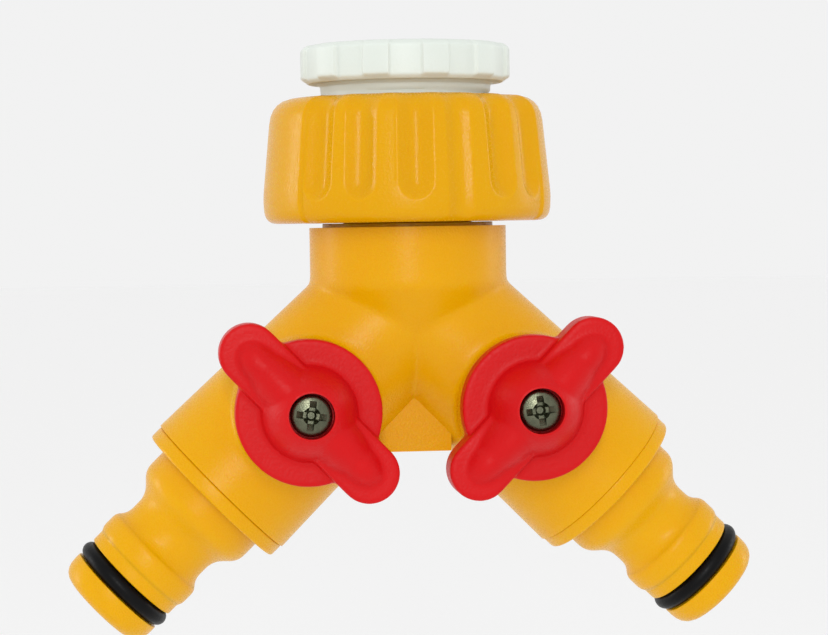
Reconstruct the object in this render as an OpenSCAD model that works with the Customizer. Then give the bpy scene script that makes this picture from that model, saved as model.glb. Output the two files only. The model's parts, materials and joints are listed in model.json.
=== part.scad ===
// Two-way hose splitter for a garden tap: a screw-on inlet with a reducing
// adaptor, a Y-shaped body with two quarter-turn ball valves, and two
// quick-connect outlets. Millimetres, +Z up. The origin is the centre of the
// inlet mouth, the knobs face -Y, and everything hangs below the mouth.

/* [Inlet adaptor] */
// Diameter over the grip pads of the adaptor's flange
flange_d = 32.7; // [32:0.1:40]
// Height of the flange
flange_h = 5.9; // [5:0.1:8]
// Number of grip pads round the flange
pad_count = 11; // [8:1:14]
// Crest diameter of the female thread that takes the tap (G 1/2)
tap_thread_d = 18.631; // [16:0.001:19]
// Outside diameter of the male thread that the nut takes (G 3/4)
nut_thread_d = 26.44; // [26.2:0.01:28]
// Pitch of both threads (14 turns to the inch)
pitch = 1.814; // [1.5:0.001:2]

/* [Coupling nut] */
// Widest diameter of the nut, near its lower edge
nut_d = 44.8; // [37:0.1:54]
// Height of the nut
nut_h = 19.3; // [19:0.1:24]
// Width of each finger flute
flute_w = 5.2; // [4:0.1:6]

/* [Body] */
// Diameter of the neck
neck_d = 30.6; // [28.5:0.1:37]
// From the neck's top edge down to where the two leg axes meet
neck_drop = 11.1; // [10:0.1:14]
// Angle between each leg and the vertical
leg_angle = 46; // [42:0.5:50]
// Length of each leg from the meeting point to its joint with the outlet
leg_len = 41.2; // [39:0.1:52]
// Diameter of a leg where the axes meet
leg_root_d = 24.4; // [23:0.1:27]
// Diameter of a leg at its outlet end
leg_end_d = 26.6; // [25:0.1:32]
// Thickness of the web between the legs
web_t = 12.2; // [6:0.1:16]

/* [Valves] */
// Distance of each valve from the meeting point of the leg axes
valve_at = 23.6; // [22:0.1:25]
// Diameter of the ball
ball_d = 17; // [14:0.1:18]
// Diameter of the water way through the ball
ball_bore = 9; // [7:0.1:9.5]
// Diameter of the valve stem
stem_d = 7.2; // [6.6:0.1:8.6]
// Diameter of the knob's round part
knob_d = 22; // [20:0.1:24]
// Length of the knob over its two wings
knob_span = 34.2; // [30:0.1:38]
// Height of the knob above the boss
knob_h = 10; // [9.4:0.1:12]

/* [Outlets] */
// From the outlet flange's outer face to the tip of the nipple
nipple_len = 24.4; // [22:0.1:30]
// Diameter of the nipple at its nose
nipple_d = 16.3; // [16:0.1:18]
// Outside diameter of the nipple's O-ring
o_ring_d = 17.1; // [16.9:0.1:20]
// Thickness of the nipple's O-ring
o_ring_w = 2.6; // [2:0.1:2.8]
// Diameter of the water way through the outlet
outlet_bore = 9.5; // [7:0.1:9.6]

/* [Hidden] */
$fn = 96;

// fits: the gap on each side, radially or between faces
run_fit = 0.05;       // a shaft that turns in its bore
ball_fit = 0.08;      // the ball in its seats
push_fit = 0.1;       // pieces pushed together and fixed
face_gap = 0.05;      // flat faces that slide past each other
lip_gap = 0.35;       // the nut round the spigot
thread_gap = 0.08;    // the nut's thread round the adaptor's thread
cut = 1;              // how far a cutter reaches past the face it opens

// inlet adaptor
pad_h = 0.5;                          // how far a pad stands out
pad_angle = 15;                       // width of a pad round the flange
pad_first = 11;                       // turn of the first pad from the front
mouth_chamfer = 0.45;
thread_depth = 0.6403 * pitch;        // depth of a 55-degree pipe thread
tap_root_r = tap_thread_d / 2 + thread_depth;
tap_thread_len = 10.6;
tap_seat_z = -13.4;                   // ledge that the tap washer lies on
tap_washer_t = 2.3;
adaptor_way_r = 7;
male_r = nut_thread_d / 2;
thread_turns = 5;
male_len = 11.8;                      // threaded part below the nut's top edge
flange_gap = 2.2;                     // flange underside to the nut's top edge

// coupling nut
nut_top_z = -flange_h - flange_gap;
nut_bottom_z = nut_top_z - nut_h;
nut_r = nut_d / 2;
nut_taper = 1.55;                     // how much narrower the nut is at its top
nut_wide_h = 3.6;                     // height of the widest place
nut_top_round = 3.4;
nut_bottom_round = 1.8;
nut_lip_t = 2.6;                      // inward lip that lifts the spigot
panel_h = 0.4;                        // how far the plain side panels stand out
panel_trim = 0.1;                     // a panel ends this short of the nut's faces
panel_from = 63;                      // a panel's two edges, round from the front
panel_to = 128;
flute_h = 4.7;                        // bottom of the flutes above the nut's edge
flute_depth = 1.3;
flute_turns = [-44, -24, -3, 36, 55]; // flutes of one side, round from the front
groove_turn = 16;                     // full-height groove between the flutes
groove_r = 2.4;
groove_depth = 0.7;
nut_bore_r = male_r + thread_gap;
nut_core_r = 8;                       // inside the lip's hole: cut away later
nut_thread_z = nut_top_z - 2.2;        // top groove of the nut's thread

// inlet spigot and washer, below the adaptor's end
adaptor_end_z = nut_top_z - male_len;
washer_t = 2.6;
washer_top_z = adaptor_end_z - face_gap;
washer_bottom_z = washer_top_z - washer_t;
spigot_top_z = washer_bottom_z - face_gap;
lip_top_z = nut_bottom_z + nut_lip_t;
spigot_flange_t = spigot_top_z - lip_top_z - 2 * face_gap;
spigot_flange_r = male_r - thread_depth - 0.3;
spigot_r = 10;
spigot_way_r = 8.2;
washer_way_r = 8.3;
spigot_depth = 9.9;                   // how far the spigot goes into the neck

// body
neck_r = neck_d / 2;
rim_h = 0.6;                          // low rim on the neck, under the nut
rim_r = 13.25;
neck_top_z = nut_bottom_z - 2 * face_gap - rim_h;
joint_z = neck_top_z - neck_drop;     // where the leg axes meet
neck_straight = 9;
leg_way_r = 4.9;                      // water way from the neck to each valve
web_drop = 23.5;                      // web's lower edge below the meeting point
seam_chamfer = 0.25;

// valves: heights are measured from the leg's axis towards the front
ball_r = ball_d / 2;
chamber_r = ball_r + 0.9;
shoulder_top = ball_r + 1.7;          // stem's shoulder, inside the chamber
shoulder_r = stem_d / 2 + 1.1;
seat_in = shoulder_r + 0.5;           // a seat's two faces, from the ball's centre
seat_out = ball_r + 0.1;
pocket_gap = 0.3;                     // pocket round the shoulder
boss_r = knob_d / 2;
boss_face = max(ball_r + 6.2, leg_end_d / 2 + 1.4); // clears the stem's rings and the leg
stem_r = stem_d / 2;
stem_ring_w = 1.3;                    // thickness of a stem O-ring
stem_groove_w = 1.4;
stem_ring_at = [ball_r + 3.3, ball_r + 5.1];
tongue_t = 2.7;
tongue_l = 8;
slot_floor = ball_r - 2.5;            // bottom of the ball's slot
stem_top = boss_face + 6.1;
drive_w = stem_d * 0.69;               // square end that carries the knob
knob_base = boss_face + 5 * face_gap;
disc_t = 3.5;
wing_t = 5.6;
bar_t = 8.6;
bar_half_l = knob_span / 2 - 1.6;
bar_half_w = 6;
wing_r = 4.8;
hub_r = 7.4;
screw_r = 1.5;
screw_fit = 0.05;
screw_len = 9.7;
head_r = 3.1;
head_t = 2.2;
head_seat = knob_base + knob_h - 2.8; // underside of the screw's head
head_well_r = head_r + 0.3;
recess_w = 0.9;
recess_l = 4.6;
recess_depth = 1.3;
turn = 90;                            // quarter turn from shut to open
lug_in = 7.5;                         // stop lug under the knob
lug_out = 9;
lug_half = 10;                        // half of its angle
lug_depth = 1.2;
stop_gap = 0.3;                       // room round the lug in its track
stop_slack = 2;                       // and at each end, in degrees

// outlets: distances are measured along the leg
connector_from = valve_at + seat_out;
flange_end = leg_len + 2.3;
outlet_flange_r = leg_end_d / 2 - 0.25;
tip_at = flange_end + nipple_len;
base_r = 10.1;
waist_r = 7.3;
ridge_r = 8.55;
nose_r = nipple_d / 2;
ring_at = tip_at - 5.5;
ring_path_r = o_ring_d / 2 - o_ring_w / 2;
groove_half = o_ring_w / 2 + 0.15;
tip_round = 2.5;

// a place round the vertical axis, in degrees from the front towards +X
module round_from_front(angle) {
  rotate([0, 0, angle - 90]) children();
}

// the leg's own frame: its +Z runs out along the right leg
module along_leg(side) {
  mirror([side < 0 ? 1 : 0, 0, 0])
    translate([0, 0, joint_z]) rotate([0, 180 - leg_angle, 0]) children();
}

// the valve's own frame: +Z towards the front, +X along the shut knob's wings
module at_valve(side) {
  translate([side * sin(leg_angle) * valve_at, 0, joint_z - cos(leg_angle) * valve_at])
    rotate([90, 0, 0])
      rotate([0, 0, side > 0 ? leg_angle : 180 - leg_angle])
        children();
}

module ring(inner, outer, height) {
  difference() {
    cylinder(r = outer, h = height);
    translate([0, 0, -cut]) cylinder(r = inner, h = height + 2 * cut);
  }
}

module o_ring(path_r, width) {
  rotate_extrude() translate([path_r, 0]) circle(d = width, $fn = 32);
}

// section of a thread's wall as ring grooves, from the bottom groove up
function thread_points(crest, root, top, count) =
  [for (i = [count - 1 : -1 : 0])
    let (z = top - i * pitch)
      each [[crest, z - pitch * 0.42], [root, z - pitch * 0.1],
            [root, z + pitch * 0.1], [crest, z + pitch * 0.42]]];

function turned_over(points) = [for (i = [len(points) - 1 : -1 : 0]) points[i]];

module adaptor_outline() {
  base = flange_d / 2 - pad_h;
  polygon(concat(
    [[adaptor_way_r, adaptor_end_z], [male_r - thread_depth, adaptor_end_z],
     [male_r, adaptor_end_z + thread_depth]],
    thread_points(male_r, male_r - thread_depth, nut_top_z - pitch, thread_turns),
    [[male_r, -flange_h - 0.5], [base - 0.9, -flange_h], [base, -flange_h + 0.9],
     [base, -0.4], [base - 0.4, 0], [tap_thread_d / 2 + mouth_chamfer, 0],
     [tap_thread_d / 2, -mouth_chamfer]],
    turned_over(thread_points(tap_thread_d / 2, tap_root_r, -mouth_chamfer - pitch * 0.7,
                              thread_turns)),
    [[tap_thread_d / 2, -tap_thread_len],
     [tap_root_r + push_fit, -tap_thread_len], [tap_root_r + push_fit, tap_seat_z],
     [adaptor_way_r, tap_seat_z]]
  ));
}

module threaded_adaptor() {
  color("whitesmoke") {
    rotate_extrude() adaptor_outline();
    for (i = [0 : pad_count - 1])
      round_from_front(pad_first + 360 * i / pad_count)
        rotate([0, 0, -pad_angle / 2])
          rotate_extrude(angle = pad_angle)
            polygon([[flange_d / 2 - 2 * pad_h, -flange_h + 1.2],
                     [flange_d / 2, -flange_h + 1.2], [flange_d / 2, -0.7],
                     [flange_d / 2 - pad_h, -0.2], [flange_d / 2 - 2 * pad_h, -0.2]]);
  }
}

module tap_washer() {
  color("dimgray")
    translate([0, 0, tap_seat_z]) ring(adaptor_way_r - 0.4, tap_root_r, tap_washer_t);
}

module inlet_washer() {
  color("dimgray")
    translate([0, 0, washer_bottom_z]) ring(washer_way_r, spigot_flange_r, washer_t);
}

// points along an arc, for rounding a corner of a section
function arc_points(centre, radius, from, to, steps = 8) =
  [for (i = [0 : steps])
    let (at = from + (to - from) * i / steps)
      [centre[0] + radius * cos(at), centre[1] + radius * sin(at)]];

// half section of the nut from an inner radius out to its skin; inset draws the
// skin in, and trim takes a little off both ends
module nut_outline(inner, inset, trim) {
  wide = nut_r - inset;
  top = wide - nut_taper;
  low_z = nut_bottom_z + trim;
  high_z = nut_top_z - trim;
  polygon(concat(
    [[inner, high_z], [inner, low_z]],
    arc_points([wide - nut_bottom_round, low_z + nut_bottom_round], nut_bottom_round, -90, 0),
    [[wide, low_z + nut_wide_h]],
    arc_points([top - nut_top_round, high_z - nut_top_round], nut_top_round, 0, 90)
  ));
}

// half section of the space inside the nut: lip hole, bore, thread and mouth
module nut_hollow() {
  polygon(concat(
    [[0, nut_bottom_z - cut], [spigot_r + lip_gap, nut_bottom_z - cut],
     [spigot_r + lip_gap, lip_top_z], [nut_bore_r, lip_top_z]],
    thread_points(nut_bore_r, nut_bore_r + thread_depth, nut_thread_z, thread_turns),
    [[nut_bore_r, nut_top_z - 1], [nut_bore_r + 1 + cut, nut_top_z + cut],
     [0, nut_top_z + cut]]
  ));
}

// one finger flute: leans with the nut's side, with a round lower end
module flute_cutter() {
  flute_r = (pow(flute_w / 2, 2) + pow(flute_depth, 2)) / (2 * flute_depth);
  lean = atan(nut_taper / (nut_h - nut_wide_h));
  translate([nut_r - panel_h - flute_depth + flute_r, 0, nut_bottom_z + flute_h + flute_r / 2])
    rotate([0, -lean, 0]) {
      sphere(r = flute_r, $fn = 48);
      cylinder(r = flute_r, h = nut_h, $fn = 48);
    }
}

module groove_cutter() {
  lean = atan(nut_taper / (nut_h - nut_wide_h));
  translate([nut_r - panel_h - groove_depth + groove_r, 0, nut_bottom_z - cut])
    rotate([0, -lean, 0])
      cylinder(r = groove_r, h = nut_h + 4 * cut, $fn = 48);
}

module coupling_nut() {
  color("orange")
    difference() {
      union() {
        rotate_extrude() nut_outline(nut_core_r, panel_h, 0);
        for (half = [0, 180])
          round_from_front(panel_from + half)
            rotate_extrude(angle = panel_to - panel_from)
              nut_outline(nut_r - nut_top_round - 2, 0, panel_trim);
      }
      for (half = [0, 180]) {
        for (turned = flute_turns) round_from_front(turned + half) flute_cutter();
        round_from_front(groove_turn + half) groove_cutter();
      }
      rotate_extrude() nut_hollow();
    }
}

module inlet_spigot() {
  color("orange")
    difference() {
      union() {
        translate([0, 0, spigot_top_z - spigot_flange_t])
          cylinder(r = spigot_flange_r, h = spigot_flange_t);
        translate([0, 0, neck_top_z - spigot_depth])
          cylinder(r = spigot_r, h = spigot_top_z - neck_top_z + spigot_depth - 0.5);
      }
      translate([0, 0, neck_top_z - spigot_depth - cut])
        cylinder(r = spigot_way_r, h = spigot_top_z - neck_top_z + spigot_depth + 2 * cut);
    }
}

// everything of the body that is solid, before it is bored
module body_solid() {
  translate([0, 0, neck_top_z]) cylinder(r = rim_r, h = rim_h);
  translate([0, 0, neck_top_z - neck_straight]) cylinder(r = neck_r, h = neck_straight);
  translate([0, 0, neck_top_z - 2 * neck_straight])
    cylinder(r1 = leg_root_d / 2 - 1.2, r2 = neck_r, h = neck_straight);
  translate([0, 0, joint_z]) sphere(r = leg_root_d / 2);
  for (side = [-1, 1]) {
    along_leg(side) {
      cylinder(r1 = leg_root_d / 2, r2 = leg_end_d / 2, h = leg_len - seam_chamfer);
      translate([0, 0, leg_len - seam_chamfer])
        cylinder(r1 = leg_end_d / 2, r2 = leg_end_d / 2 - seam_chamfer, h = seam_chamfer);
    }
    at_valve(side) cylinder(r = boss_r, h = boss_face);
  }
  web();
}

// flat web in the fork of the legs
module web() {
  half_w = (web_drop - 4) * tan(leg_angle) - leg_root_d / 2 / cos(leg_angle) + 3;
  translate([0, web_t / 2, joint_z])
    rotate([90, 0, 0])
      linear_extrude(web_t)
        polygon([[-half_w, -web_drop], [half_w, -web_drop], [6, -8], [-6, -8]]);
}

// track that the knob's stop lug runs in, as cut into the boss
module stop_track() {
  translate([0, 0, boss_face - lug_depth - 4 * face_gap])
    rotate([0, 0, -lug_half - stop_slack])
      rotate_extrude(angle = turn + 2 * (lug_half + stop_slack))
        translate([lug_in - stop_gap, 0])
          square([lug_out - lug_in + 2 * stop_gap, lug_depth + cut]);
}

module valve_body() {
  color("orange")
    difference() {
      body_solid();
      translate([0, 0, neck_top_z - spigot_depth - face_gap])
        cylinder(r = spigot_r + run_fit, h = spigot_depth + rim_h + cut);
      translate([0, 0, joint_z])
        cylinder(r = spigot_way_r, h = neck_drop);
      translate([0, 0, joint_z]) sphere(r = spigot_way_r);
      for (side = [-1, 1]) {
        along_leg(side) {
          cylinder(r = leg_way_r, h = valve_at);
          translate([0, 0, valve_at - seat_out])
            cylinder(r = chamber_r, h = leg_len - valve_at + seat_out + cut);
        }
        at_valve(side) {
          cylinder(r = stem_r + run_fit, h = boss_face + cut);
          cylinder(r = shoulder_r + pocket_gap, h = shoulder_top + 2 * face_gap);
          stop_track();
        }
      }
    }
}

// seat ring: its face towards the ball is part of a sphere
module seat(side, outward) {
  color("white")
    along_leg(side)
      translate([0, 0, valve_at])
        rotate([0, outward ? 0 : 180, 0])
          difference() {
            translate([0, 0, seat_in])
              ring(leg_way_r, chamber_r - push_fit, seat_out - seat_in);
            sphere(r = ball_r + ball_fit);
          }
}

module valve_ball(side) {
  color("silver")
    at_valve(side)
      difference() {
        sphere(r = ball_r);
        rotate([0, 90, 0]) cylinder(d = ball_bore, h = 2 * ball_d, center = true);
        translate([-tongue_t / 2 - push_fit, -ball_d, slot_floor])
          cube([tongue_t + 2 * push_fit, 2 * ball_d, ball_d]);
      }
}

module valve_stem(side) {
  color("goldenrod")
    at_valve(side)
      difference() {
        union() {
          translate([-tongue_t / 2, -tongue_l / 2, slot_floor + push_fit])
            cube([tongue_t, tongue_l, shoulder_top - slot_floor - 0.5]);
          translate([0, 0, ball_r + 0.15])
            cylinder(r = shoulder_r, h = shoulder_top - ball_r - 0.15);
          cylinder_from_to(stem_r, shoulder_top - 0.5, knob_base);
          translate([-drive_w / 2, -drive_w / 2, knob_base - 0.5])
            cube([drive_w, drive_w, stem_top - knob_base + 0.5]);
        }
        for (at = stem_ring_at)
          translate([0, 0, at - stem_groove_w / 2])
            ring(stem_r - stem_ring_w - face_gap, stem_r + cut, stem_groove_w);
        cylinder_from_to(screw_r + screw_fit, head_seat - screw_len - 0.5, stem_top + cut);
      }
}

module cylinder_from_to(radius, from, to) {
  translate([0, 0, from]) cylinder(r = radius, h = to - from);
}

module stem_o_rings(side) {
  color("black")
    at_valve(side)
      for (at = stem_ring_at)
        translate([0, 0, at]) o_ring(stem_r - stem_ring_w / 2, stem_ring_w);
}

// the knob seen from the front: a disc with two opposite wings
module wings() {
  tip = knob_span / 2 - wing_r;
  for (turned = [0, 180])
    rotate([0, 0, turned]) {
      translate([tip, 0]) circle(r = wing_r);
      polygon([[0, -wing_r - 0.5], [knob_d / 2 - 2, -wing_r - 0.4], [tip, -wing_r],
               [tip, wing_r], [knob_d / 2 - 2, wing_r + 0.4], [0, wing_r + 0.5]]);
    }
}

// the raised bar: a lens shape, pointed towards the wing tips
module bar() {
  arc_r = (pow(bar_half_l, 2) + pow(bar_half_w, 2)) / (2 * bar_half_w);
  intersection_for (way = [-1, 1])
    translate([0, way * (arc_r - bar_half_w)]) circle(r = arc_r, $fn = 180);
}

module knob(side) {
  color("crimson")
    at_valve(side)
      difference() {
        union() {
          translate([0, 0, knob_base]) {
            cylinder(d = knob_d, h = disc_t - 0.8);
            translate([0, 0, disc_t - 0.8])
              cylinder(d1 = knob_d, d2 = knob_d - 1.6, h = 0.8);
            linear_extrude(wing_t) wings();
            linear_extrude(bar_t) bar();
            cylinder(r = hub_r, h = knob_h - 0.7);
            translate([0, 0, knob_h - 0.7])
              cylinder(r1 = hub_r, r2 = hub_r - 0.7, h = 0.7);
          }
          translate([0, 0, boss_face - lug_depth])
            rotate([0, 0, -lug_half])
              rotate_extrude(angle = 2 * lug_half)
                translate([lug_in, 0]) square([lug_out - lug_in, lug_depth + 1]);
        }
        translate([-drive_w / 2 - push_fit, -drive_w / 2 - push_fit, knob_base - cut])
          cube([drive_w + 2 * push_fit, drive_w + 2 * push_fit,
                stem_top - knob_base + cut + push_fit]);
        cylinder_from_to(screw_r + 2 * screw_fit, knob_base, head_seat + cut);
        cylinder_from_to(head_well_r, head_seat, knob_base + knob_h + cut);
      }
}

// pan-head screw with a cross recess
module knob_screw(side) {
  dome_r = 6;
  color("darkslategray")
    at_valve(side)
      difference() {
        union() {
          cylinder_from_to(screw_r, head_seat - screw_len, head_seat + 0.5);
          intersection() {
            cylinder_from_to(head_r, head_seat, head_seat + head_t);
            translate([0, 0, head_seat + head_t - dome_r]) sphere(r = dome_r);
          }
        }
        for (turned = [0, 90])
          rotate([0, 0, turned + 40])
            translate([-recess_l / 2, -recess_w / 2, head_seat + head_t - recess_depth])
              cube([recess_l, recess_w, recess_depth + cut]);
      }
}

module nipple_outline() {
  difference() {
    polygon([
      [outlet_bore / 2, connector_from], [chamber_r - push_fit - 0.3, connector_from],
      [chamber_r - push_fit, connector_from + 0.3], [chamber_r - push_fit, leg_len],
      [outlet_flange_r - 0.2, leg_len], [outlet_flange_r, leg_len + 0.2],
      [outlet_flange_r, flange_end - 0.3], [outlet_flange_r - 0.3, flange_end],
      [base_r, flange_end], [base_r, flange_end + 3.6],
      [base_r - 0.4, flange_end + 4.3], [waist_r + 0.3, flange_end + 6.9],
      [waist_r, flange_end + 7.8], [waist_r, flange_end + 10.4],
      [waist_r + 0.3, flange_end + 11],
      [ridge_r - 0.2, flange_end + 12.1], [ridge_r, flange_end + 12.6],
      [ridge_r, flange_end + 14.5], [nose_r, flange_end + 15.4],
      [nose_r, tip_at - tip_round], [outlet_bore / 2, tip_at - tip_round]
    ]);
    translate([ring_path_r - o_ring_w / 2 - run_fit, ring_at - groove_half])
      square([o_ring_w * 2, 2 * groove_half]);
  }
  difference() {
    intersection() {
      translate([nose_r - tip_round, tip_at - tip_round]) circle(r = tip_round);
      translate([outlet_bore / 2, tip_at - tip_round]) square(nose_r);
    }
    translate([0, tip_at - tip_round - cut]) square([outlet_bore / 2, tip_round + 2 * cut]);
  }
  translate([outlet_bore / 2, tip_at - tip_round])
    square([nose_r - tip_round - outlet_bore / 2, tip_round]);
}

module outlet_connector(side) {
  color("orange") along_leg(side) rotate_extrude() nipple_outline();
}

module nipple_o_ring(side) {
  color("black")
    along_leg(side) translate([0, 0, ring_at]) o_ring(ring_path_r, o_ring_w);
}

threaded_adaptor();
tap_washer();
inlet_washer();
coupling_nut();
inlet_spigot();
valve_body();
outlet_connector(-1);  // left_outlet_connector
outlet_connector(1);  // right_outlet_connector
nipple_o_ring(-1);  // left_nipple_o_ring
nipple_o_ring(1);  // right_nipple_o_ring
seat(-1, false);  // left_inner_seat
seat(1, false);  // right_inner_seat
seat(-1, true);  // left_outer_seat
seat(1, true);  // right_outer_seat
valve_ball(-1);  // left_valve_ball
valve_ball(1);  // right_valve_ball
valve_stem(-1);  // left_valve_stem
valve_stem(1);  // right_valve_stem
stem_o_rings(-1);  // left_stem_o_rings
stem_o_rings(1);  // right_stem_o_rings
knob(-1);  // left_knob
knob(1);  // right_knob
knob_screw(-1);  // left_knob_screw
knob_screw(1);  // right_knob_screw
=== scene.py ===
# %% [markdown]
# # A two-way garden hose splitter
#
# The engineering model gives every part its size and its place. This lesson
# dresses it: the moulded plastic parts that are seen from outside are made
# again with the soft corners, flutes and fillets of real mouldings, and each
# plain inner part keeps its own mesh and gets a real finish.
#
# The frame is loaded first, and its box is kept for placing the floor and aiming the lights.

# %% Load the frame
import json
import math
import bmesh
import bpy
from mathutils import Matrix, Vector

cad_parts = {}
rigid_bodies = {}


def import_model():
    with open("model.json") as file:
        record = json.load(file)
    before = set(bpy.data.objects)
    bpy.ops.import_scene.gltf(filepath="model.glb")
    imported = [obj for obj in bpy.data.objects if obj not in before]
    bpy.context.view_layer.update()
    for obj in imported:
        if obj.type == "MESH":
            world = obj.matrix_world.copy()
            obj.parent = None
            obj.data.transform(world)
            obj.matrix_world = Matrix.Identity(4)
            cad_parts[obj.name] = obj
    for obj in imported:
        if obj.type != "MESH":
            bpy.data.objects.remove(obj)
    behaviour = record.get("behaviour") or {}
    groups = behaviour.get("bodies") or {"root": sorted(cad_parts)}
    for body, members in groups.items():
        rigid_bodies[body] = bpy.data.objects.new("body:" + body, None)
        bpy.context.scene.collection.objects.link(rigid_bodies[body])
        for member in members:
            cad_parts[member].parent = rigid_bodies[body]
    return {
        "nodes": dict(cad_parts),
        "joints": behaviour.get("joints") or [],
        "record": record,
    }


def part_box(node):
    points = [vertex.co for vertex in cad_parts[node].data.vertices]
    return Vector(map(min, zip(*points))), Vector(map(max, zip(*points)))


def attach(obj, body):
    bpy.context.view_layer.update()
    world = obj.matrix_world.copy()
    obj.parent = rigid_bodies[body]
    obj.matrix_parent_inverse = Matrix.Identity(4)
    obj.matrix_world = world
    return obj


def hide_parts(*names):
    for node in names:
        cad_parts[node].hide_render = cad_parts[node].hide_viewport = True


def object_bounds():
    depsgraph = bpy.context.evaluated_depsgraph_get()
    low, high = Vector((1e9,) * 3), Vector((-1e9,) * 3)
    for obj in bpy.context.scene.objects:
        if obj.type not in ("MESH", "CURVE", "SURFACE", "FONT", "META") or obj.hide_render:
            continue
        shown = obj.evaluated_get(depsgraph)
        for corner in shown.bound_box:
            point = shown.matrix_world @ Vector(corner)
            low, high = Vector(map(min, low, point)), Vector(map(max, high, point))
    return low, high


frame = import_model()
frame_low, frame_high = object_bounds()
print("frame box in mm:", [round(1000 * side, 1) for side in frame_high - frame_low])

# %% [markdown]
# Parts like these are drawn in millimetres, so the shapes are too, and each
# mesh is scaled to metres once, when it is finished. The places come from
# the frame: the boxes of the parts, and the axis of each valve and outlet.

# %% Places in the frame, in millimetres
MM = 0.001


def box_mm(node):
    low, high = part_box(node)
    return low / MM, high / MM


joints = {joint["name"]: joint for joint in frame["joints"]}
outlet = next(m for m in frame["record"]["mounts"] if m["name"] == "right_outlet_nose")
valve_centre = Vector(joints["right_valve_turn"]["pos_m"]) / MM
leg_way = Vector(outlet["axis"])
fork_z = valve_centre.z - leg_way.z * valve_centre.x / leg_way.x
valve_at = valve_centre.x / leg_way.x

adaptor_low, adaptor_high = box_mm("threaded_adaptor")
nut_low, nut_high = box_mm("coupling_nut")
body_high = box_mm("valve_body")[1]
print("legs meet at z", round(fork_z, 2), "and the valves are", round(valve_at, 2), "down each leg")

# %% [markdown]
# A part is drawn on its own axis and then laid in its place. Three places are
# enough: on the upright axis, along a leg, and on a valve with +Z to the front
# and +X along the handle. The left leg is the right one mirrored, but both
# valves open the same way round, so a left valve is turned and not mirrored.

# %% Where a part is laid
UPRIGHT = Matrix.Identity(4)


def mirrored(side):
    return Matrix.Diagonal((side, 1, 1, 1))


def along_leg(side):
    turn = Vector((0, 0, 1)).rotation_difference(leg_way).to_matrix().to_4x4()
    return mirrored(side) @ Matrix.Translation((0, 0, fork_z)) @ turn


def at_valve(side, handle_turn):
    middle = Matrix.Translation((side * valve_centre.x, 0, valve_centre.z))
    face_front = Matrix.Rotation(math.radians(90), 4, "X")
    turn = handle_turn if side > 0 else 180 - handle_turn
    return middle @ face_front @ Matrix.Rotation(math.radians(turn), 4, "Z")


# %% [markdown]
# Every part ends the same way: its doubles are merged, its faces are turned
# outwards, it is laid in its place and scaled to metres, and it rides on its
# body in the stead of the plain node.

# %% Finish a part
def closed(bm):
    bmesh.ops.remove_doubles(bm, verts=bm.verts, dist=0.0005)
    bmesh.ops.recalc_face_normals(bm, faces=bm.faces)


def to_object(name, bm, place, sharp_angle=35):
    bmesh.ops.transform(bm, matrix=Matrix.Scale(MM, 4) @ place, verts=bm.verts)
    bmesh.ops.recalc_face_normals(bm, faces=bm.faces)
    mesh = bpy.data.meshes.new(name)
    bm.to_mesh(mesh)
    bm.free()
    part = bpy.data.objects.new(name, mesh)
    bpy.context.collection.objects.link(part)
    mesh.shade_smooth()
    mesh.set_sharp_from_angle(angle=math.radians(sharp_angle))
    return part


def stands_for(part, node, body, finish):
    part.data.materials.clear()
    part.data.materials.append(finish)
    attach(part, body)
    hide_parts(node)
    print(part.name, "stands for", node, "with", len(part.data.polygons), "faces")

# %% [markdown]
# ## The finishes
#
# Colours are written as they look on a screen, 0 to 255, and turned into the
# linear values that a shader works in.

# %% Screen colours to shader colours
def colour(red, green, blue):
    def linear(level):
        part = level / 255
        return part / 12.92 if part <= 0.04045 else ((part + 0.055) / 1.055) ** 2.4
    return (linear(red), linear(green), linear(blue), 1.0)


# %% [markdown]
# Every moulded piece here has the same three small faults: the pigment drifts
# a little in tone, the gloss comes and goes in patches, and the mould's spark
# texture leaves a fine grain. One node group makes all three from noise on
# object coordinates, and each plastic gives it its own colours and numbers.

# %% Node group: the skin of a moulding
def wire(tree, start, end):
    tree.links.new(start, end)


def start_group(name, inputs, outputs):
    group = bpy.data.node_groups.new(name, "ShaderNodeTree")
    for label, kind in inputs:
        group.interface.new_socket(label, in_out="INPUT", socket_type=kind)
    for label, kind in outputs:
        group.interface.new_socket(label, in_out="OUTPUT", socket_type=kind)
    return group, group.nodes.new("NodeGroupInput"), group.nodes.new("NodeGroupOutput")


def noise(tree, size, detail):
    pattern = tree.nodes.new("ShaderNodeTexNoise")
    pattern.inputs["Detail"].default_value = detail
    place = tree.nodes.new("ShaderNodeTexCoord")
    wire(tree, place.outputs["Object"], pattern.inputs["Vector"])
    wire(tree, size, pattern.inputs["Scale"])
    return pattern.outputs["Fac"]


def stretched(tree, value, low, high):
    spread = tree.nodes.new("ShaderNodeMapRange")
    spread.inputs["From Min"].default_value = 0.3
    spread.inputs["From Max"].default_value = 0.7
    wire(tree, value, spread.inputs["Value"])
    wire(tree, low, spread.inputs["To Min"])
    wire(tree, high, spread.inputs["To Max"])
    return spread.outputs["Result"]


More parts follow.
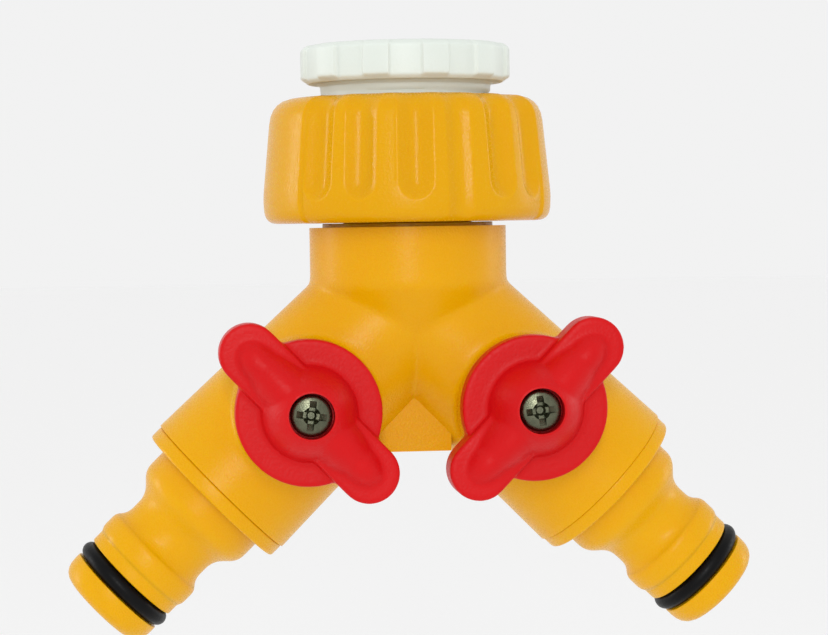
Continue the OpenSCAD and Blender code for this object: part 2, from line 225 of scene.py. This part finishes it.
def make_skin_group():
    number, tint = "NodeSocketFloat", "NodeSocketColor"
    skin, given, made = start_group(
        "moulded skin",
        [("Colour", tint), ("Deeper Colour", tint), ("Patches per Metre", number),
         ("Grains per Metre", number), ("Glossy", number), ("Dull", number)],
        [("Colour", tint), ("Roughness", number), ("Height", number)])
    patches = noise(skin, given.outputs["Patches per Metre"], 3)
    mix = skin.nodes.new("ShaderNodeMix")
    mix.data_type = "RGBA"
    blend, first, second = (mix.inputs[i] for i in (0, 6, 7))  # the sockets of a colour mix
    wire(skin, patches, blend)
    wire(skin, given.outputs["Colour"], first)
    wire(skin, given.outputs["Deeper Colour"], second)
    wire(skin, mix.outputs[2], made.inputs["Colour"])
    grain = noise(skin, given.outputs["Grains per Metre"], 2)
    gloss = stretched(skin, grain, given.outputs["Glossy"], given.outputs["Dull"])
    wire(skin, gloss, made.inputs["Roughness"])
    wire(skin, grain, made.inputs["Height"])
    return skin


skin_group = make_skin_group()
print("made the group", skin_group.name)

# %% [markdown]
# A finish is then one Principled shader fed by that group. Light sinks a
# little way into a coloured plastic and comes out warmer, which is why the
# hollows of the yellow nut look orange and never grey: that is Subsurface.

# %% A moulded finish
def moulded(name, lighter, deeper, patches, grains, glossy, dull, depth,
            glow=0.0, glow_reach=(1.0, 0.5, 0.2), shine=0.3, metal=0.0):
    finish = bpy.data.materials.new(name)
    finish.use_nodes = True
    tree = finish.node_tree
    shader = tree.nodes["Principled BSDF"]
    skin = tree.nodes.new("ShaderNodeGroup")
    skin.node_tree = skin_group
    skin.inputs["Colour"].default_value = lighter
    skin.inputs["Deeper Colour"].default_value = deeper
    skin.inputs["Patches per Metre"].default_value = patches
    skin.inputs["Grains per Metre"].default_value = grains
    skin.inputs["Glossy"].default_value = glossy
    skin.inputs["Dull"].default_value = dull
    wire(tree, skin.outputs["Colour"], shader.inputs["Base Color"])
    wire(tree, skin.outputs["Roughness"], shader.inputs["Roughness"])
    bump = tree.nodes.new("ShaderNodeBump")
    bump.inputs["Distance"].default_value = depth
    wire(tree, skin.outputs["Height"], bump.inputs["Height"])
    wire(tree, bump.outputs["Normal"], shader.inputs["Normal"])
    shader.inputs["Metallic"].default_value = metal
    shader.inputs["Subsurface Weight"].default_value = glow
    shader.inputs["Subsurface Radius"].default_value = glow_reach
    shader.inputs["Subsurface Scale"].default_value = 0.0008
    shader.inputs["Specular IOR Level"].default_value = shine
    return finish


# %% The object's own finishes
yellow_plastic = moulded("yellow plastic", colour(225, 167, 0), colour(219, 159, 0),
                         45, 3200, 0.22, 0.34, 0.00005, 0.25, (1.0, 0.45, 0.1), 0.17)
grained_yellow = moulded("grained yellow plastic", colour(218, 160, 0), colour(212, 153, 0),
                         45, 2600, 0.16, 0.32, 0.00005, 0.25, (1.0, 0.45, 0.1), 0.15)
white_plastic = moulded("white plastic", colour(219, 225, 218), colour(210, 217, 210),
                        60, 2600, 0.34, 0.44, 0.00003, 0.2, (1.0, 1.0, 0.95))
red_plastic = moulded("red plastic", colour(205, 10, 15), colour(193, 8, 13),
                      90, 2400, 0.36, 0.48, 0.00006, 0.15, (1.0, 0.15, 0.1), 0.17)
black_rubber = moulded("black rubber", colour(3, 3, 4), colour(9, 9, 10),
                       300, 2500, 0.34, 0.5, 0.00002, shine=0.12)
washer_rubber = moulded("washer rubber", colour(40, 40, 42), colour(54, 54, 55),
                        350, 3000, 0.6, 0.75, 0.00004)
seat_plastic = moulded("seat plastic", colour(232, 231, 224), colour(222, 220, 210),
                       200, 2000, 0.42, 0.5, 0.00001, 0.2, (1.0, 0.95, 0.9))
ball_plastic = moulded("ball plastic", colour(210, 213, 214), colour(198, 202, 204),
                       150, 1800, 0.12, 0.2, 0.000004, 0.1, (1.0, 1.0, 1.0))
stem_plastic = moulded("stem plastic", colour(226, 200, 140), colour(214, 186, 122),
                       200, 2400, 0.38, 0.5, 0.00002, 0.2, (1.0, 0.8, 0.5))
dark_steel = moulded("dark steel", colour(112, 112, 92), colour(74, 80, 66),
                     900, 5000, 0.22, 0.42, 0.00002, metal=1.0)
print("made", len(bpy.data.materials), "materials")

# %% [markdown]
# ## Turned shapes
#
# Most of the fitting is round, so it is drawn as half a section and spun. The
# section is a list of corners, each with the length that its rounding takes
# off both edges; a curve through the corner replaces it. Long edges are then
# divided where a pattern will be pressed into them.

# %% A rounded section, spun about its axis
def rounded(corners, steps=6):
    points = []
    for i, (radius, height, rounding) in enumerate(corners):
        corner = Vector((radius, height))
        if not rounding:
            points.append(corner)
            continue
        before = Vector(corners[i - 1][:2]) - corner
        after = Vector(corners[(i + 1) % len(corners)][:2]) - corner
        start = corner + before.normalized() * rounding
        end = corner + after.normalized() * rounding
        for k in range(steps + 1):
            t = k / steps
            points.append(start * (1 - t) ** 2 + corner * 2 * t * (1 - t) + end * t * t)
    return points


def spun(points, steps, longest=None):
    bm = bmesh.new()
    verts = [bm.verts.new((p[0], 0, p[1])) for p in points]
    edges = [bm.edges.new(pair) for pair in zip(verts, verts[1:] + verts[:1])]
    if longest:
        for edge in edges:
            cuts = int(edge.calc_length() / longest)
            if cuts:
                bmesh.ops.subdivide_edges(bm, edges=[edge], cuts=cuts)
    bmesh.ops.spin(bm, geom=bm.verts[:] + bm.edges[:], cent=(0, 0, 0), axis=(0, 0, 1),
                   angle=math.tau, steps=steps, use_merge=True)
    closed(bm)
    return bm


# %% [markdown]
# Two patterns are pressed into spun parts by moving their points in or out:
# grips round the outside, and screw threads. A thread is a wave along the
# axis whose phase turns once round per pitch, so it is a true helix. The turn
# round the axis is counted in degrees from the front towards +X.

# %% Press patterns into a spun part
PITCH = 25.4 / 14
THREAD_DEPTH = 0.6403 * PITCH


def turn_of(point):
    return math.degrees(math.atan2(point.x, -point.y))


def turn_between(turn, centre):
    return (turn - centre + 180) % 360 - 180


def step_up(value):
    value = min(1, max(0, value))
    return value * value * (3 - 2 * value)


def move_out(vert, distance):
    radius = math.hypot(vert.co.x, vert.co.y)
    vert.co.x *= (radius + distance) / radius
    vert.co.y *= (radius + distance) / radius


def cut_thread(bm, crest, low, high, inwards):
    for vert in bm.verts:
        radius = math.hypot(vert.co.x, vert.co.y)
        if abs(radius - crest) > 0.02 or not low < vert.co.z < high:
            continue
        phase = vert.co.z / PITCH + turn_of(vert.co) / 360
        wave = step_up(abs(phase % 1 - 0.5) * 3.2 - 0.3)
        fade = step_up((vert.co.z - low) / PITCH) * step_up((high - vert.co.z) / PITCH)
        move_out(vert, inwards * THREAD_DEPTH * wave * fade)


# %% [markdown]
# ## The coupling nut
#
# A big hand nut: wide near its lower edge, drawn in towards the top, with
# round-ended finger flutes, one shallow groove over its full height, and two
# plain grip panels at the sides that stand a little proud. Booleans would
# leave hard edges, so the section is spun finely and the flutes are pressed
# in as smooth dips, which gives them the soft lips of the moulding.

# %% Sizes of the nut
nut_r = nut_high.x
NUT_TAPER = 1.55
LIP_HOLE_R = 10.35
LIP_TOP = nut_low.z + 2.6
BORE_R = 13.3
PANEL_H = 0.4
PANEL_MIDDLE, PANEL_HALF = 95.5, 32.5
FLUTES = (-44, -24.5, -2, 36, 55)
FLUTE_HALF, FLUTE_DEPTH = 2.75, 1.35
FLUTE_END = nut_low.z + 6
GROOVE_TURN, GROOVE_HALF, GROOVE_DEPTH = 16, 2.3, 0.75
SEAM_TURN, SEAM_HALF, SEAM_H = -9.5, 0.3, 0.1


# %% How far the nut's skin lies inside its widest shape
def half_turned(turn):
    """The pattern repeats on the back of the nut."""
    return turn_between(turn, 0) if abs(turn_between(turn, 0)) <= 90 else turn_between(turn, 180)


def dip(distance, half_width, softness):
    across = abs(distance) / half_width
    return (1 - across * across) ** softness if across < 1 else 0


def nut_relief(turn, height, radius):
    beside_panel = min(abs(turn_between(turn, PANEL_MIDDLE)), abs(turn_between(turn, PANEL_MIDDLE + 180)))
    relief = PANEL_H * step_up((beside_panel - PANEL_HALF + 0.6) / 1.2)
    turn = half_turned(turn)
    for flute in FLUTES:
        arc = math.radians(turn - flute) * radius
        reach = math.hypot(arc, max(0, FLUTE_END - height))
        relief += FLUTE_DEPTH * dip(reach, FLUTE_HALF, 1.3)
    relief += GROOVE_DEPTH * dip(math.radians(turn - GROOVE_TURN) * radius, GROOVE_HALF, 1.6)
    if FLUTE_END < height < nut_high.z - 3:
        relief -= SEAM_H * dip(math.radians(turn - SEAM_TURN) * radius, SEAM_HALF, 1)
    return relief


# %% Spin the nut and press its pattern in
def make_nut():
    low, high = nut_low.z, nut_high.z
    bm = spun(rounded([
        (LIP_HOLE_R, low, 0.3), (nut_r - 0.35, low, 1.9), (nut_r, low + 3.6, 1.6),
        (nut_r - NUT_TAPER, high, 3.9), (BORE_R + 1, high, 0.3), (BORE_R, high - 1, 0.2),
        (BORE_R, LIP_TOP, 0.3), (LIP_HOLE_R, LIP_TOP, 0.3)]), 600, 0.45)
    for vert in bm.verts:
        radius = math.hypot(vert.co.x, vert.co.y)
        share = step_up((radius - 15) / 3)
        if share:
            move_out(vert, -share * nut_relief(turn_of(vert.co), vert.co.z, radius))
    cut_thread(bm, BORE_R, LIP_TOP + 1.2, high - 0.9, 1)
    return bm


nut = to_object("hand_nut", make_nut(), UPRIGHT, 60)
stands_for(nut, "coupling_nut", "nut", grained_yellow)

# %% [markdown]
# ## The white adaptor
#
# A threaded bush with a flange of eleven raised grip pads. It is one spun
# section with a thread on both its walls; the pads are pushed out of the
# flange with quick, nearly square sides, as they are cut in the mould.

# %% Sizes of the adaptor
flange_r = adaptor_high.x
FLANGE_H = 5.9
PADS, FIRST_PAD, PAD_HALF, PAD_H = 11, 11, 7.6, 0.5
TAP_R = 9.3155
MALE_R = 13.22
TAP_SEAT = -13.4
ADAPTOR_WAY = 7.0


# %% Spin the adaptor and push its pads out
def pad_height(turn, height):
    nearest = turn_between(turn - FIRST_PAD, 0) % (360 / PADS)
    aside = min(nearest, 360 / PADS - nearest)
    return PAD_H * step_up((PAD_HALF - aside) / 0.9 + 0.5) * step_up((height + FLANGE_H - 0.1) / 0.9)


def make_adaptor():
    low, base = adaptor_low.z, flange_r - PAD_H
    root = TAP_R + THREAD_DEPTH + 0.1
    bm = spun(rounded([
        (ADAPTOR_WAY, low, 0.3), (MALE_R - 1.1, low, 0.2), (MALE_R, low + 1.2, 0.2),
        (MALE_R, -FLANGE_H - 0.5, 0.15), (MALE_R + 0.5, -FLANGE_H, 0.2),
        (base - 0.6, -FLANGE_H, 0.2), (base, -FLANGE_H + 0.6, 0.3), (base, -0.7, 0.3),
        (base - 0.8, 0, 0.3),
        (TAP_R + 1.1, 0, 0.25), (TAP_R, -1.1, 0.1), (TAP_R, -10.6, 0), (root, -10.6, 0.1),
        (root, TAP_SEAT, 0.1), (ADAPTOR_WAY, TAP_SEAT, 0.3)]), 440, 0.32)
    for vert in bm.verts:
        radius = math.hypot(vert.co.x, vert.co.y)
        share = step_up((radius - MALE_R - 1.2) / 0.8)
        if share and vert.co.z > -FLANGE_H - 0.1:
            move_out(vert, share * pad_height(turn_of(vert.co), vert.co.z))
    cut_thread(bm, MALE_R, low + 1.1, -FLANGE_H - 1, -1)
    cut_thread(bm, TAP_R, -10.5, -1.2, 1)
    return bm


adaptor = to_object("reducing_adaptor", make_adaptor(), UPRIGHT, 50)
stands_for(adaptor, "threaded_adaptor", "adaptor", white_plastic)

# %% [markdown]
# ## The outlet connectors
#
# Each leg ends in a flange and a quick-connect nipple, turned as one piece:
# base, waist, catch ridge, nose, and a groove for the O-ring. The real one
# flows from each step to the next, so the corners get wide roundings. A left
# and a right one are laid along the two legs.

# %% Sizes along a leg
nose = Vector(outlet["pos_m"]) / MM
NOSE_R = outlet["dims"]["r_mm"]
LEG_LEN = 41.2
FLANGE_END = LEG_LEN + 2.3
nose_at = nose.x / leg_way.x
TIP_AT = nose_at + outlet["dims"]["length_mm"] / 2 + 2.5
RING_AT = TIP_AT - 5.5
BASE_R, WAIST_R, RIDGE_R, BORE_END_R = 10.1, 7.3, 8.55, 4.75
OUTLET_FLANGE_R = 13.05
CHAMBER_R, CHAMBER_HALF = 9.4, 8.6
PLUG_FROM = valve_at + CHAMBER_HALF


# %% Spin the connectors
def make_connector():
    return spun(rounded([
        (BORE_END_R, PLUG_FROM, 0), (CHAMBER_R - 0.1, PLUG_FROM, 0.3),
        (CHAMBER_R - 0.1, LEG_LEN, 0), (OUTLET_FLANGE_R, LEG_LEN, 0.45),
        (OUTLET_FLANGE_R, FLANGE_END, 0.5), (BASE_R, FLANGE_END, 0.25),
        (BASE_R, FLANGE_END + 4.1, 1.3), (WAIST_R, FLANGE_END + 6.9, 1.6),
        (WAIST_R, FLANGE_END + 10.9, 1.2), (RIDGE_R, FLANGE_END + 12.2, 0.7),
        (RIDGE_R, FLANGE_END + 14.9, 0.6), (NOSE_R, FLANGE_END + 15.5, 0.3),
        (NOSE_R, RING_AT - 1.45, 0.2), (NOSE_R - 2.25, RING_AT - 1.45, 0.2),
        (NOSE_R - 2.25, RING_AT + 1.45, 0.2), (NOSE_R, RING_AT + 1.45, 0.2),
        (NOSE_R, TIP_AT, 3.0), (BORE_END_R, TIP_AT, 0.3)]), 192)


for side, word in ((-1, "left"), (1, "right")):
    connector = to_object(word + "_nipple", make_connector(), along_leg(side), 50)
    stands_for(connector, word + "_outlet_connector", "body", yellow_plastic)

# %% [markdown]
# ## Shapes that flow into each other
#
# The body and the knobs are mouldings in which simple solids melt together.
# Booleans give hard creases where solids meet, and bevelling such a crease by
# hand is slow and fragile. So the solids are joined, wrapped in one skin by a
# voxel Remesh, and relaxed by a Smooth modifier, which turns every crease
# into a soft fillet. The places that must stay crisp are cut afterwards.

# %% Melt solids into one skin, and cut it
def round_solid(low_r, high_r, low, high, steps=96):
    bm = bmesh.new()
    bmesh.ops.create_cone(bm, cap_ends=True, segments=steps, radius1=low_r, radius2=high_r,
                          depth=high - low)
    bmesh.ops.translate(bm, vec=(0, 0, (low + high) / 2), verts=bm.verts)
    return bm


def ball_solid(radius, stretch=(1, 1, 1)):
    bm = bmesh.new()
    bmesh.ops.create_uvsphere(bm, u_segments=64, v_segments=48, radius=radius)
    bmesh.ops.scale(bm, vec=stretch, verts=bm.verts)
    return bm


def block_solid(size, middle):
    bm = bmesh.new()
    bmesh.ops.create_cube(bm, size=1)
    bmesh.ops.scale(bm, vec=size, verts=bm.verts)
    bmesh.ops.translate(bm, vec=middle, verts=bm.verts)
    return bm


def laid(bm, place):
    bmesh.ops.transform(bm, matrix=place, verts=bm.verts)
    bmesh.ops.recalc_face_normals(bm, faces=bm.faces)
    return bm


def as_mesh(bm, name="shape"):
    mesh = bpy.data.meshes.new(name)
    bm.to_mesh(mesh)
    bm.free()
    return mesh


def with_modifiers(mesh, *settings):
    """The mesh after the modifiers, each given as its type and its values."""
    holder = bpy.data.objects.new("holder", mesh)
    bpy.context.collection.objects.link(holder)
    for kind, values in settings:
        modifier = holder.modifiers.new(kind, kind)
        for name, value in values.items():
            setattr(modifier, name, value)
    seen = holder.evaluated_get(bpy.context.evaluated_depsgraph_get())
    bm = bmesh.new()
    bm.from_mesh(seen.to_mesh())
    bpy.data.objects.remove(holder)
    return bm


def melted(solids, voxel, passes):
    together = bmesh.new()
    for solid in solids:
        together.from_mesh(as_mesh(solid))
    return with_modifiers(as_mesh(together),
                          ("REMESH", {"mode": "VOXEL", "voxel_size": voxel}),
                          ("SMOOTH", {"factor": 0.5, "iterations": passes}))


def sliced(bm, point, way):
    """Cuts off what lies beyond the plane and closes the face."""
    cut = bmesh.ops.bisect_plane(bm, geom=bm.verts[:] + bm.edges[:] + bm.faces[:], dist=0.0001,
                                 plane_co=point, plane_no=way, clear_outer=True)
    rim = [e for e in cut["geom_cut"] if isinstance(e, bmesh.types.BMEdge)]
    bmesh.ops.contextual_create(bm, geom=rim)
    return bm


def carved(bm, cutters, operation="DIFFERENCE"):
    tool_group = bpy.data.collections.new("tools")
    for cutter in cutters:
        tool = bpy.data.objects.new("tool", as_mesh(cutter))
        tool_group.objects.link(tool)
    bpy.context.scene.collection.children.link(tool_group)
    result = with_modifiers(as_mesh(bm), ("BOOLEAN", {
        "operation": operation, "operand_type": "COLLECTION", "collection": tool_group,
        "solver": "MANIFOLD"}))
    for tool in list(tool_group.objects):
        bpy.data.objects.remove(tool)
    bpy.data.collections.remove(tool_group)
    return result


# %% [markdown]
# ## The body
#
# A straight neck, two thick legs with a slight flare, a flat web in the fork,
# and a round boss behind each knob. The neck and the legs are melted longer
# than they are and then sliced, so their ends stay flat and crisp. The web and
# the neck's rim are joined after the melting, which keeps their creases sharp.
# The water ways, valve chambers, stem holes and stop tracks are carved last.

# %% Sizes of the body
RIM_H, RIM_R = 0.6, 13.25
neck_top = body_high.z - RIM_H
NECK_R = 15.3
NECK_FOOT = neck_top - 9
LEG_ROOT_R, LEG_END_R = 12.2, 13.3
WEB_W, WEB_T, WEB_H, WEB_BOTTOM = 11.3, 12.2, 14, fork_z - 23.5
STOP_DEPTH = 1.2
boss_face = STOP_DEPTH - box_mm("right_knob")[1].y
BOSS_R = 11
SPARE = 4
SPIGOT_HOLE_R, SPIGOT_HOLE_DEPTH = 10.05, 9.95
NECK_WAY_R, NECK_WAY_TOP = 8.2, neck_top - 5
LEG_WAY_R = 4.9
STEM_HOLE_R, POCKET_R, POCKET_TOP = 3.65, 5, 10.3
BODY_VOXEL, BODY_PASSES = ((0.42, 12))


# %% The track for the knob's stop
handle_turn = math.degrees(math.atan2(leg_way.x, -leg_way.z))
STOP_IN, STOP_OUT, STOP_HALF, QUARTER = 7.5, 9.0, 10, 90


def sector(inner, outer, low, high, start, end):
    bm = bmesh.new()
    corners = [bm.verts.new(p) for p in ((inner, 0, low), (outer, 0, low), (outer, 0, high),
                                         (inner, 0, high))]
    bm.faces.new(corners)
    bmesh.ops.rotate(bm, cent=(0, 0, 0), matrix=Matrix.Rotation(math.radians(start), 3, "Z"),
                     verts=bm.verts)
    bmesh.ops.spin(bm, geom=bm.verts[:] + bm.edges[:] + bm.faces[:], cent=(0, 0, 0),
                   axis=(0, 0, 1), angle=math.radians(end - start), steps=24)
    closed(bm)
    return bm


def stop_track():
    slack = STOP_HALF + 2
    return sector(STOP_IN - 0.3, STOP_OUT + 0.3, boss_face - STOP_DEPTH - 0.2, boss_face + 1,
                  -slack, QUARTER + slack)


# %% Melt the body
def leg_radius(along):
    return LEG_ROOT_R + (LEG_END_R - LEG_ROOT_R) * along / LEG_LEN


def body_solids():
    yield round_solid(NECK_R, NECK_R, NECK_FOOT, neck_top + SPARE)
    yield round_solid(LEG_ROOT_R - 1.2, NECK_R, NECK_FOOT - 9, NECK_FOOT)
    yield laid(ball_solid(LEG_ROOT_R), Matrix.Translation((0, 0, fork_z)))
    for side in (-1, 1):
        yield laid(round_solid(LEG_ROOT_R, leg_radius(LEG_LEN + SPARE), 0, LEG_LEN + SPARE),
                   along_leg(side))
        yield laid(round_solid(BOSS_R, BOSS_R, 0, boss_face + SPARE), at_valve(side, 0))


def body_cutters():
    yield round_solid(SPIGOT_HOLE_R, SPIGOT_HOLE_R, neck_top - SPIGOT_HOLE_DEPTH, neck_top + SPARE)
    yield round_solid(NECK_WAY_R, NECK_WAY_R, fork_z, NECK_WAY_TOP)
    yield laid(ball_solid(NECK_WAY_R), Matrix.Translation((0, 0, fork_z)))
    for side in (-1, 1):
        yield laid(round_solid(LEG_WAY_R, LEG_WAY_R, 0, valve_at), along_leg(side))
        yield laid(round_solid(CHAMBER_R, CHAMBER_R, valve_at - CHAMBER_HALF, LEG_LEN + SPARE),
                   along_leg(side))
        yield laid(round_solid(STEM_HOLE_R, STEM_HOLE_R, 0, boss_face + SPARE), at_valve(side, 0))
        yield laid(round_solid(POCKET_R, POCKET_R, 0, POCKET_TOP), at_valve(side, 0))
        yield laid(round_solid(BOSS_R + 2, BOSS_R + 2, boss_face, boss_face + 2 * SPARE),
                   at_valve(side, 0))
        yield laid(stop_track(), at_valve(side, handle_turn))


def make_body():
    bm = melted(body_solids(), BODY_VOXEL, BODY_PASSES)
    sliced(bm, (0, 0, neck_top), (0, 0, 1))
    for side in (-1, 1):
        along = Vector((side * leg_way.x, 0, leg_way.z))
        sliced(bm, Vector((0, 0, fork_z)) + along * LEG_LEN, along)
    rim = spun(rounded([(0, neck_top - 1, 0), (RIM_R, neck_top - 1, 0),
                        (RIM_R, neck_top + RIM_H, 0.2), (0, neck_top + RIM_H, 0)]), 128)
    web = block_solid((WEB_W, WEB_T, WEB_H), (0, 0, WEB_BOTTOM + WEB_H / 2))
    return carved(carved(bm, [rim, web], "UNION"), body_cutters())


body = to_object("y_body", make_body(), UPRIGHT, 40)
stands_for(body, "valve_body", "body", yellow_plastic)

# %% [markdown]
# ## The knobs
#
# A red hand knob: a disc with soft edges, two broad round-ended wings, and a
# lens-shaped ridge that runs from wing to wing and swells into the hub. It is
# melted from those solids. Stretched balls make the ridge and the hub, because
# the real ones fall away towards the wing tips and the disc with no step.

# %% Sizes of a knob
knob_top = -box_mm("right_knob")[0].y
KNOB_BASE = boss_face + 0.25
DISC_R, DISC_T = 11, 3.6
WING_R, WING_T, WING_AT = 4.55, 5.4, 12.55
RIDGE_STRETCH = (16.2, 5.2, 9.6)
HUB_STRETCH = (7.7, 7.7, 11.4)
RIDGE_END_STRETCH, RIDGE_END_AT = (6.2, 4.0, 7.6), 10.2
HEAD_SEAT = knob_top - 2.8
WELL_R, SHANK_HOLE_R, DRIVE_W = 3.4, 1.6, 5.17
DRIVE_H, DRIVE_TOP = 7, boss_face + 6.2
KNOB_VOXEL, KNOB_PASSES = ((0.24, 20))


# %% Melt a knob and carve its screw well and stem socket
def knob_solids():
    foot = KNOB_BASE - SPARE
    yield round_solid(DISC_R, DISC_R, foot, KNOB_BASE + DISC_T)
    yield block_solid((2 * WING_AT, 2 * WING_R, WING_T + SPARE),
                      (0, 0, (foot + KNOB_BASE + WING_T) / 2))
    yield laid(ball_solid(1, RIDGE_STRETCH), Matrix.Translation((0, 0, KNOB_BASE)))
    yield laid(ball_solid(1, HUB_STRETCH), Matrix.Translation((0, 0, KNOB_BASE)))
    for way in (-1, 1):
        yield laid(round_solid(WING_R, WING_R, foot, KNOB_BASE + WING_T),
                   Matrix.Translation((way * WING_AT, 0, 0)))
        yield laid(ball_solid(1, RIDGE_END_STRETCH),
                   Matrix.Translation((way * RIDGE_END_AT, 0, KNOB_BASE)))


def make_knob():
    bm = melted(knob_solids(), KNOB_VOXEL, KNOB_PASSES)
    sliced(bm, (0, 0, KNOB_BASE), (0, 0, -1))
    sliced(bm, (0, 0, knob_top), (0, 0, 1))
    bm = carved(bm, [sector(STOP_IN, STOP_OUT, boss_face - STOP_DEPTH, KNOB_BASE + 1,
                            -STOP_HALF, STOP_HALF)], "UNION")
    return carved(bm, [
        round_solid(WELL_R, WELL_R, HEAD_SEAT, knob_top + SPARE),
        round_solid(SHANK_HOLE_R, SHANK_HOLE_R, KNOB_BASE, HEAD_SEAT + 1),
        block_solid((DRIVE_W, DRIVE_W, DRIVE_H), (0, 0, DRIVE_TOP - DRIVE_H / 2))])


for side, word in ((-1, "left"), (1, "right")):
    knob = to_object(word + "_hand_knob", make_knob(), at_valve(side, handle_turn), 42)
    stands_for(knob, word + "_knob", word + "_valve", red_plastic)

# %% [markdown]
# ## The screws
#
# A pan head with a cross recess holds each knob. The dome and the shank are
# spun, the shank gets a thread, and the recess is carved with two tapered
# bars and a cone, whose sloping ends catch the light like the pressed metal.

# %% Make the screws
HEAD_R, HEAD_TOP, SHANK_R = 3.1, HEAD_SEAT + 2.2, 1.5
SHANK_END = HEAD_SEAT - 9.7
ARM_TURNS = {-1: 82, 1: 96}
BAR_TOP, BAR_FOOT = (5.9, 1.15, 0.3), (2.4, 0.8, -1.2)  # length, width, height over the head
SCREW_THREAD_DEPTH = 0.11


def tapered_bar(turn):
    bm = bmesh.new()
    bmesh.ops.create_cube(bm, size=1)
    for vert in bm.verts:
        length, width, height = BAR_TOP if vert.co.z > 0 else BAR_FOOT
        vert.co = Vector((vert.co.x * length, vert.co.y * width, HEAD_TOP + height))
    return laid(bm, Matrix.Rotation(math.radians(turn), 4, "Z"))


def make_screw():
    bm = spun(rounded([
        (0, SHANK_END, 0), (SHANK_R, SHANK_END, 0.3), (SHANK_R, HEAD_SEAT, 0),
        (HEAD_R, HEAD_SEAT, 0.2), (HEAD_R, HEAD_TOP - 0.55, 0.5), (1.3, HEAD_TOP, 1.2),
        (0, HEAD_TOP, 0)]), 96, 0.25)
    for vert in bm.verts:
        radius = math.hypot(vert.co.x, vert.co.y)
        if abs(radius - SHANK_R) < 0.01 and SHANK_END + 0.5 < vert.co.z < HEAD_SEAT - 0.2:
            wave = abs((vert.co.z + turn_of(vert.co) / 360) % 1 - 0.5)
            move_out(vert, -2 * SCREW_THREAD_DEPTH * wave)
    return carved(bm, [tapered_bar(0), tapered_bar(90),
                       round_solid(0.5, 1.5, HEAD_TOP - 1.8, HEAD_TOP + 0.3, 48)])


for side, word in ((-1, "left"), (1, "right")):
    screw = to_object(word + "_cross_screw", make_screw(), at_valve(1, ARM_TURNS[side]), 35)
    if side < 0:  # moved across and not mirrored, so its thread stays right-handed
        screw.data.transform(Matrix.Translation((-2 * valve_centre.x * MM, 0, 0)))
    stands_for(screw, word + "_knob_screw", word + "_valve", dark_steel)

# %% [markdown]
# ## The inner parts
#
# The washers, seats, balls, stems, spigot and O-rings are plain turned
# shapes that the frame already has right, so they stay. Each only gets the
# finish of its real stuff: rubber, sealing plastic or polished ball.

# %% Finish the plain parts of the frame
plain_parts = {
    "tap_washer": washer_rubber, "inlet_washer": washer_rubber,
    "inlet_spigot": yellow_plastic}
for word in ("left", "right"):
    plain_parts.update({
        word + "_inner_seat": seat_plastic, word + "_outer_seat": seat_plastic,
        word + "_valve_ball": ball_plastic, word + "_valve_stem": stem_plastic,
        word + "_stem_o_rings": black_rubber, word + "_nipple_o_ring": black_rubber})

for node, finish in plain_parts.items():
    part = frame["nodes"][node]
    part.data.materials.clear()
    part.data.materials.append(finish)
print("finished", len(plain_parts), "plain parts")

# %% [markdown]
# ## Floor, light and camera
#
# The fitting hangs from a tap in use, so the wide pale floor lies well below
# it. The world is almost as pale, so the two meet without a line.

# %% A pale floor
FLOOR_R, FLOOR_DROP = 8, 0.12


def make_floor():
    bm = bmesh.new()
    bmesh.ops.create_circle(bm, cap_ends=True, segments=96, radius=FLOOR_R)
    bmesh.ops.translate(bm, vec=(0, 0, frame_low.z - FLOOR_DROP), verts=bm.verts)
    floor = bpy.data.objects.new("floor", as_mesh(bm, "floor"))
    bpy.context.collection.objects.link(floor)
    return floor


pale = bpy.data.materials.new("pale floor")
pale.use_nodes = True
pale.node_tree.nodes["Principled BSDF"].inputs["Base Color"].default_value = colour(254, 254, 254)
pale.node_tree.nodes["Principled BSDF"].inputs["Roughness"].default_value = 0.9
pale.node_tree.nodes["Principled BSDF"].inputs["Specular IOR Level"].default_value = 0.1
floor = make_floor()
floor.data.materials.append(pale)

# %% [markdown]
# The light is soft and even. The white world fills all shadows, a tall narrow
# panel in front and above shapes the fronts, and two thin strips behind put
# the bright lines on the sides of the nut.

# %% World and lights
world = bpy.data.worlds.new("studio")
bpy.context.scene.world = world
world.use_nodes = True
world.node_tree.nodes["Background"].inputs["Color"].default_value = (1, 1, 1, 1)
world.node_tree.nodes["Background"].inputs["Strength"].default_value = 0.887
subject = (frame_low + frame_high) / 2


def panel(name, place, size, power, spread):
    lamp = bpy.data.lights.new(name, "AREA")
    lamp.spread = math.radians(spread)
    lamp.shape = "RECTANGLE"
    lamp.size, lamp.size_y = size
    lamp.energy = power
    light = bpy.data.objects.new(name, lamp)
    bpy.context.collection.objects.link(light)
    light.location = place
    light.rotation_euler = (subject - Vector(place)).to_track_quat("-Z", "Y").to_euler()


panel("front panel", (-0.1, -0.95, 0.2), (0.08, 0.6), 0.42, 60)
panel("left strip", (-0.78, 0.25, 0.1), (0.04, 0.6), 0.09, 40)
panel("right strip", (0.78, 0.25, 0.1), (0.04, 0.6), 0.05, 40)
bpy.context.scene.view_settings.view_transform = "Standard"

# %% [markdown]
# The camera is a long lens a step away, a little to the left of the fitting
# and level with the top of its neck, looking slightly down and held a touch
# out of level.

# %% Camera
lens = bpy.data.cameras.new("camera")
lens.lens, lens.sensor_width = 111.6, 36
lens.clip_start, lens.clip_end = 0.01, 20
camera = bpy.data.objects.new("camera", lens)
bpy.context.collection.objects.link(camera)
aim = Vector((0.0008, 0, -0.0423))
stand = Vector((-0.041, -0.398, -0.028))
roll = Matrix.Rotation(math.radians(-0.9), 4, "Z")
look = (aim - stand).to_track_quat("-Z", "Y").to_matrix().to_4x4()
camera.matrix_world = Matrix.Translation(stand) @ look @ roll
bpy.context.scene.camera = camera
